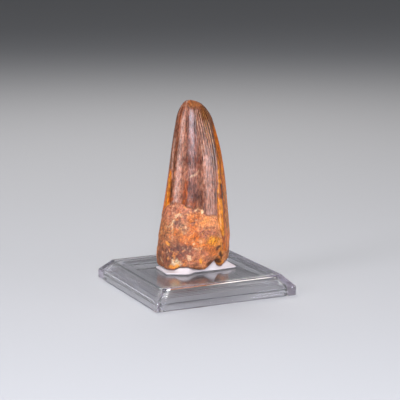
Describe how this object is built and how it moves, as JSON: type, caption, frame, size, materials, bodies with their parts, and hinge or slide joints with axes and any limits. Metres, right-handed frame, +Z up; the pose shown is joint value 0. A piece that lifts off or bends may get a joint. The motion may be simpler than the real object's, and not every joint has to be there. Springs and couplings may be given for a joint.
{
  "type": "spinosaurus tooth",
  "caption": "Fossil conical tooth with a worn tip and fine lengthwise ridges, held upright in white putty on a clear bevelled square display base.",
  "frame": {"origin": "centre of the base's underside", "axes": "+Z up along the tooth, X and Y along the base's sides, the tooth's broad front looks along -Y"},
  "size_m": [0.05, 0.05, 0.063],
  "materials": {
    "tooth": "polished brown enamel above, rough orange and brown mottled root below",
    "putty": "soft white mounting putty",
    "base": "clear polished polystyrene"
  },
  "bodies": {
    "root": {"tooth": "tooth", "putty": "putty", "base": "base"}
  },
  "joints": []
}
